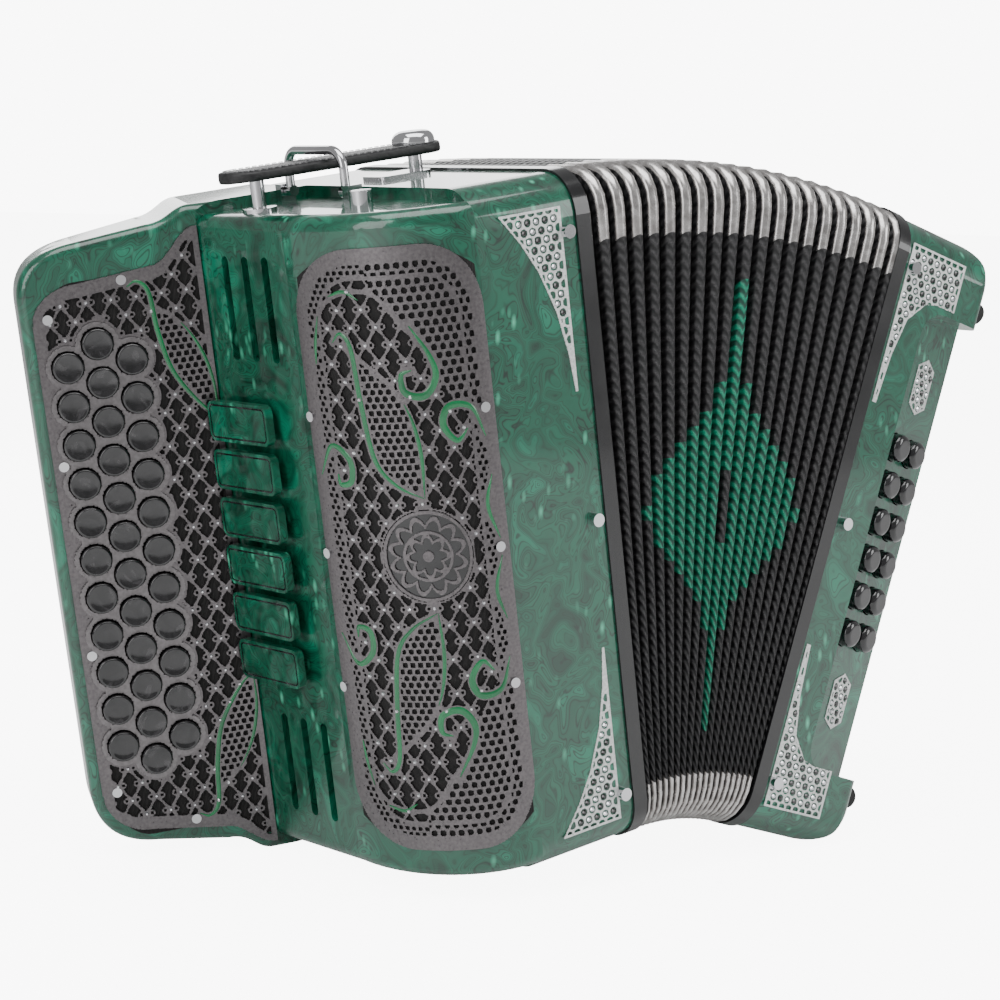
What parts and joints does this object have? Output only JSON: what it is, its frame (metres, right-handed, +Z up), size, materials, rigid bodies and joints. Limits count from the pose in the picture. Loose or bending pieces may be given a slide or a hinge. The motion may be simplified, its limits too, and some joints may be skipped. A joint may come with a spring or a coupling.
{
  "type": "button accordion",
  "caption": "Diatonic button accordion standing with its bellows fanned open: pearl green casings, pierced metal grille, button rows, register switches, straps and feet.",
  "frame": {"origin": "middle of the bounding box's bottom, on the floor between the two leaning casings", "axes": "+Z up, +X from the treble casing to the bass casing, +Y from the audience side to the player"},
  "size_m": [0.4832, 0.199, 0.36],
  "materials": {
    "green_celluloid": "glossy pearl",
    "inner_wood": "unfinished spruce",
    "felt": "felt",
    "black_lacquer": "satin black lacquer",
    "grille_metal": "gunmetal",
    "fold_card": "cloth covered card",
    "button_black": "polished",
    "leather_black": "grained",
    "chrome_fittings": "polished",
    "foot_rubber": "matte"
  },
  "bodies": {
    "treble": {"treble_casing": "green_celluloid", "treble_reed_blocks": "inner_wood", "treble_pallets": "felt", "grille_cover": "green_celluloid", "grille_plate": "grille_metal", "fingerboard": "green_celluloid", "button_plate": "grille_metal", "treble_bellows_frame": "black_lacquer", "closure_strap": "leather_black", "strap_fittings": "chrome_fittings", "treble_screws": "chrome_fittings"},
    "bellows_fold_01": {"bellows_fold_01": "fold_card"},
    "bellows_fold_02": {"bellows_fold_02": "fold_card"},
    "bellows_fold_03": {"bellows_fold_03": "fold_card"},
    "bellows_fold_04": {"bellows_fold_04": "fold_card"},
    "bellows_fold_05": {"bellows_fold_05": "fold_card"},
    "bellows_fold_06": {"bellows_fold_06": "fold_card"},
    "bellows_fold_07": {"bellows_fold_07": "fold_card"},
    "bellows_fold_08": {"bellows_fold_08": "fold_card"},
    "bellows_fold_09": {"bellows_fold_09": "fold_card"},
    "bellows_fold_10": {"bellows_fold_10": "fold_card"},
    "bellows_fold_11": {"bellows_fold_11": "fold_card"},
    "bellows_fold_12": {"bellows_fold_12": "fold_card"},
    "bellows_fold_13": {"bellows_fold_13": "fold_card"},
    "bellows_fold_14": {"bellows_fold_14": "fold_card"},
    "bellows_fold_15": {"bellows_fold_15": "fold_card"},
    "bellows_fold_16": {"bellows_fold_16": "fold_card"},
    "bellows_fold_17": {"bellows_fold_17": "fold_card"},
    "bellows_fold_18": {"bellows_fold_18": "fold_card"},
    "bellows_fold_19": {"bellows_fold_19": "fold_card"},
    "bass": {"bass_casing": "green_celluloid", "bass_bellows_frame": "black_lacquer", "bass_button_panel": "green_celluloid", "bass_reed_blocks": "inner_wood", "rubber_feet": "foot_rubber", "hand_strap": "leather_black", "bass_screws": "chrome_fittings"},
    "treble_buttons_inner": {"treble_buttons_inner": "button_black"},
    "treble_buttons_middle": {"treble_buttons_middle": "button_black"},
    "treble_buttons_outer": {"treble_buttons_outer": "button_black"},
    "register_switch_1": {"register_switch_1": "green_celluloid"},
    "register_switch_2": {"register_switch_2": "green_celluloid"},
    "register_switch_3": {"register_switch_3": "green_celluloid"},
    "register_switch_4": {"register_switch_4": "green_celluloid"},
    "register_switch_5": {"register_switch_5": "green_celluloid"},
    "register_switch_6": {"register_switch_6": "green_celluloid"},
    "bass_button_01": {"bass_button_01": "button_black"},
    "bass_button_02": {"bass_button_02": "button_black"},
    "bass_button_03": {"bass_button_03": "button_black"},
    "bass_button_04": {"bass_button_04": "button_black"},
    "bass_button_05": {"bass_button_05": "button_black"},
    "bass_button_06": {"bass_button_06": "button_black"},
    "bass_button_07": {"bass_button_07": "button_black"},
    "bass_button_08": {"bass_button_08": "button_black"},
    "bass_button_09": {"bass_button_09": "button_black"},
    "bass_button_10": {"bass_button_10": "button_black"},
    "bass_button_11": {"bass_button_11": "button_black"},
    "bass_button_12": {"bass_button_12": "button_black"},
    "strap_ring": {"strap_ring": "chrome_fittings"},
    "air_button": {"air_button": "chrome_fittings"}
  },
  "joints": [
    {"name": "fold_hinge_01", "type": "hinge", "parent": "treble", "child": "bellows_fold_01", "pos_m": [0.01286, 0, 0.02059], "axis": [0, 1, 0], "range_deg": [-1.33, 1.1]},
    {"name": "fold_hinge_02", "type": "hinge", "parent": "bellows_fold_01", "child": "bellows_fold_02", "pos_m": [0.01596, 0, 0.02103], "axis": [0, 1, 0], "range_deg": [-1.33, 1.1]},
    {"name": "fold_hinge_03", "type": "hinge", "parent": "bellows_fold_02", "child": "bellows_fold_03", "pos_m": [0.01907, 0, 0.02141], "axis": [0, 1, 0], "range_deg": [-1.33, 1.1]},
    {"name": "fold_hinge_04", "type": "hinge", "parent": "bellows_fold_03", "child": "bellows_fold_04", "pos_m": [0.02218, 0, 0.02171], "axis": [0, 1, 0], "range_deg": [-1.33, 1.1]},
    {"name": "fold_hinge_05", "type": "hinge", "parent": "bellows_fold_04", "child": "bellows_fold_05", "pos_m": [0.02531, 0, 0.02194], "axis": [0, 1, 0], "range_deg": [-1.33, 1.1]},
    {"name": "fold_hinge_06", "type": "hinge", "parent": "bellows_fold_05", "child": "bellows_fold_06", "pos_m": [0.02843, 0, 0.0221], "axis": [0, 1, 0], "range_deg": [-1.33, 1.1]},
    {"name": "fold_hinge_07", "type": "hinge", "parent": "bellows_fold_06", "child": "bellows_fold_07", "pos_m": [0.03156, 0, 0.02218], "axis": [0, 1, 0], "range_deg": [-1.33, 1.1]},
    {"name": "fold_hinge_08", "type": "hinge", "parent": "bellows_fold_07", "child": "bellows_fold_08", "pos_m": [0.03469, 0, 0.02219], "axis": [0, 1, 0], "range_deg": [-1.33, 1.1]},
    {"name": "fold_hinge_09", "type": "hinge", "parent": "bellows_fold_08", "child": "bellows_fold_09", "pos_m": [0.03782, 0, 0.02213], "axis": [0, 1, 0], "range_deg": [-1.33, 1.1]},
    {"name": "fold_hinge_10", "type": "hinge", "parent": "bellows_fold_09", "child": "bellows_fold_10", "pos_m": [0.04095, 0, 0.02199], "axis": [0, 1, 0], "range_deg": [-1.33, 1.1]},
    {"name": "fold_hinge_11", "type": "hinge", "parent": "bellows_fold_10", "child": "bellows_fold_11", "pos_m": [0.04407, 0, 0.02178], "axis": [0, 1, 0], "range_deg": [-1.33, 1.1]},
    {"name": "fold_hinge_12", "type": "hinge", "parent": "bellows_fold_11", "child": "bellows_fold_12", "pos_m": [0.04719, 0, 0.0215], "axis": [0, 1, 0], "range_deg": [-1.33, 1.1]},
    {"name": "fold_hinge_13", "type": "hinge", "parent": "bellows_fold_12", "child": "bellows_fold_13", "pos_m": [0.0503, 0, 0.02115], "axis": [0, 1, 0], "range_deg": [-1.33, 1.1]},
    {"name": "fold_hinge_14", "type": "hinge", "parent": "bellows_fold_13", "child": "bellows_fold_14", "pos_m": [0.0534, 0, 0.02072], "axis": [0, 1, 0], "range_deg": [-1.33, 1.1]},
    {"name": "fold_hinge_15", "type": "hinge", "parent": "bellows_fold_14", "child": "bellows_fold_15", "pos_m": [0.05649, 0, 0.02022], "axis": [0, 1, 0], "range_deg": [-1.33, 1.1]},
    {"name": "fold_hinge_16", "type": "hinge", "parent": "bellows_fold_15", "child": "bellows_fold_16", "pos_m": [0.05957, 0, 0.01965], "axis": [0, 1, 0], "range_deg": [-1.33, 1.1]},
    {"name": "fold_hinge_17", "type": "hinge", "parent": "bellows_fold_16", "child": "bellows_fold_17", "pos_m": [0.06263, 0, 0.01901], "axis": [0, 1, 0], "range_deg": [-1.33, 1.1]},
    {"name": "fold_hinge_18", "type": "hinge", "parent": "bellows_fold_17", "child": "bellows_fold_18", "pos_m": [0.06568, 0, 0.01829], "axis": [0, 1, 0], "range_deg": [-1.33, 1.1]},
    {"name": "fold_hinge_19", "type": "hinge", "parent": "bellows_fold_18", "child": "bellows_fold_19", "pos_m": [0.06871, 0, 0.01751], "axis": [0, 1, 0], "range_deg": [-1.33, 1.1]},
    {"name": "bellows_fan", "type": "hinge", "parent": "bellows_fold_19", "child": "bass", "pos_m": [0.07172, 0, 0.01665], "axis": [0, 1, 0], "range_deg": [-1.33, 1.1]},
    {"name": "button_column_inner", "type": "slide", "parent": "treble", "child": "treble_buttons_inner", "axis": [0.3534, 0.9336, 0.0595], "range_m": [0, 0.0035], "stiffness_N_per_m": 1500, "springref_m": -0.001},
    {"name": "button_column_middle", "type": "slide", "parent": "treble", "child": "treble_buttons_middle", "axis": [0.3534, 0.9336, 0.0595], "range_m": [0, 0.0035], "stiffness_N_per_m": 1500, "springref_m": -0.001},
    {"name": "button_column_outer", "type": "slide", "parent": "treble", "child": "treble_buttons_outer", "axis": [0.3534, 0.9336, 0.0595], "range_m": [0, 0.0035], "stiffness_N_per_m": 1500, "springref_m": -0.001},
    {"name": "lever_register_1", "type": "hinge", "parent": "treble", "child": "register_switch_1", "pos_m": [-0.14586, -0.0026, 0.21981], "axis": [-0.1659, 0, 0.9861], "range_deg": [-3.8, 0]},
    {"name": "lever_register_2", "type": "hinge", "parent": "treble", "child": "register_switch_2", "pos_m": [-0.14192, -0.0026, 0.19634], "axis": [-0.1659, 0, 0.9861], "range_deg": [-3.8, 0]},
    {"name": "lever_register_3", "type": "hinge", "parent": "treble", "child": "register_switch_3", "pos_m": [-0.13797, -0.0026, 0.17287], "axis": [-0.1659, 0, 0.9861], "range_deg": [-3.8, 0]},
    {"name": "lever_register_4", "type": "hinge", "parent": "treble", "child": "register_switch_4", "pos_m": [-0.13402, -0.0026, 0.1494], "axis": [-0.1659, 0, 0.9861], "range_deg": [-3.8, 0]},
    {"name": "lever_register_5", "type": "hinge", "parent": "treble", "child": "register_switch_5", "pos_m": [-0.13007, -0.0026, 0.12593], "axis": [-0.1659, 0, 0.9861], "range_deg": [-3.8, 0]},
    {"name": "lever_register_6", "type": "hinge", "parent": "treble", "child": "register_switch_6", "pos_m": [-0.12612, -0.0026, 0.10246], "axis": [-0.1659, 0, 0.9861], "range_deg": [-3.8, 0]},
    {"name": "press_bass_01", "type": "slide", "parent": "bass", "child": "bass_button_01", "axis": [-0.2311, 0.9703, 0.0715], "range_m": [0, 0.004], "stiffness_N_per_m": 150, "springref_m": -0.001},
    {"name": "press_bass_02", "type": "slide", "parent": "bass", "child": "bass_button_02", "axis": [-0.2311, 0.9703, 0.0715], "range_m": [0, 0.004], "stiffness_N_per_m": 150, "springref_m": -0.001},
    {"name": "press_bass_03", "type": "slide", "parent": "bass", "child": "bass_button_03", "axis": [-0.2311, 0.9703, 0.0715], "range_m": [0, 0.004], "stiffness_N_per_m": 150, "springref_m": -0.001},
    {"name": "press_bass_04", "type": "slide", "parent": "bass", "child": "bass_button_04", "axis": [-0.2311, 0.9703, 0.0715], "range_m": [0, 0.004], "stiffness_N_per_m": 150, "springref_m": -0.001},
    {"name": "press_bass_05", "type": "slide", "parent": "bass", "child": "bass_button_05", "axis": [-0.2311, 0.9703, 0.0715], "range_m": [0, 0.004], "stiffness_N_per_m": 150, "springref_m": -0.001},
    {"name": "press_bass_06", "type": "slide", "parent": "bass", "child": "bass_button_06", "axis": [-0.2311, 0.9703, 0.0715], "range_m": [0, 0.004], "stiffness_N_per_m": 150, "springref_m": -0.001},
    {"name": "press_bass_07", "type": "slide", "parent": "bass", "child": "bass_button_07", "axis": [-0.2311, 0.9703, 0.0715], "range_m": [0, 0.004], "stiffness_N_per_m": 150, "springref_m": -0.001},
    {"name": "press_bass_08", "type": "slide", "parent": "bass", "child": "bass_button_08", "axis": [-0.2311, 0.9703, 0.0715], "range_m": [0, 0.004], "stiffness_N_per_m": 150, "springref_m": -0.001},
    {"name": "press_bass_09", "type": "slide", "parent": "bass", "child": "bass_button_09", "axis": [-0.2311, 0.9703, 0.0715], "range_m": [0, 0.004], "stiffness_N_per_m": 150, "springref_m": -0.001},
    {"name": "press_bass_10", "type": "slide", "parent": "bass", "child": "bass_button_10", "axis": [-0.2311, 0.9703, 0.0715], "range_m": [0, 0.004], "stiffness_N_per_m": 150, "springref_m": -0.001},
    {"name": "press_bass_11", "type": "slide", "parent": "bass", "child": "bass_button_11", "axis": [-0.2311, 0.9703, 0.0715], "range_m": [0, 0.004], "stiffness_N_per_m": 150, "springref_m": -0.001},
    {"name": "press_bass_12", "type": "slide", "parent": "bass", "child": "bass_button_12", "axis": [-0.2311, 0.9703, 0.0715], "range_m": [0, 0.004], "stiffness_N_per_m": 150, "springref_m": -0.001},
    {"name": "air_button_press", "type": "slide", "parent": "bass", "child": "air_button", "axis": [-0.9553, 0, 0.2957], "range_m": [0, 0.0045], "stiffness_N_per_m": 200, "springref_m": -0.001},
    {"name": "carry_ring_swing", "type": "hinge", "parent": "treble", "child": "strap_ring", "pos_m": [-0.11843, 0.0095, 0.32837], "axis": [0, 1, 0], "range_deg": [-20, 20]}
  ],
  "couplings": [
    {"joint": "fold_hinge_01", "follows": "bellows_fan", "ratio": 1},
    {"joint": "fold_hinge_02", "follows": "bellows_fan", "ratio": 1},
    {"joint": "fold_hinge_03", "follows": "bellows_fan", "ratio": 1},
    {"joint": "fold_hinge_04", "follows": "bellows_fan", "ratio": 1},
    {"joint": "fold_hinge_05", "follows": "bellows_fan", "ratio": 1},
    {"joint": "fold_hinge_06", "follows": "bellows_fan", "ratio": 1},
    {"joint": "fold_hinge_07", "follows": "bellows_fan", "ratio": 1},
    {"joint": "fold_hinge_08", "follows": "bellows_fan", "ratio": 1},
    {"joint": "fold_hinge_09", "follows": "bellows_fan", "ratio": 1},
    {"joint": "fold_hinge_10", "follows": "bellows_fan", "ratio": 1},
    {"joint": "fold_hinge_11", "follows": "bellows_fan", "ratio": 1},
    {"joint": "fold_hinge_12", "follows": "bellows_fan", "ratio": 1},
    {"joint": "fold_hinge_13", "follows": "bellows_fan", "ratio": 1},
    {"joint": "fold_hinge_14", "follows": "bellows_fan", "ratio": 1},
    {"joint": "fold_hinge_15", "follows": "bellows_fan", "ratio": 1},
    {"joint": "fold_hinge_16", "follows": "bellows_fan", "ratio": 1},
    {"joint": "fold_hinge_17", "follows": "bellows_fan", "ratio": 1},
    {"joint": "fold_hinge_18", "follows": "bellows_fan", "ratio": 1},
    {"joint": "fold_hinge_19", "follows": "bellows_fan", "ratio": 1}
  ]
}
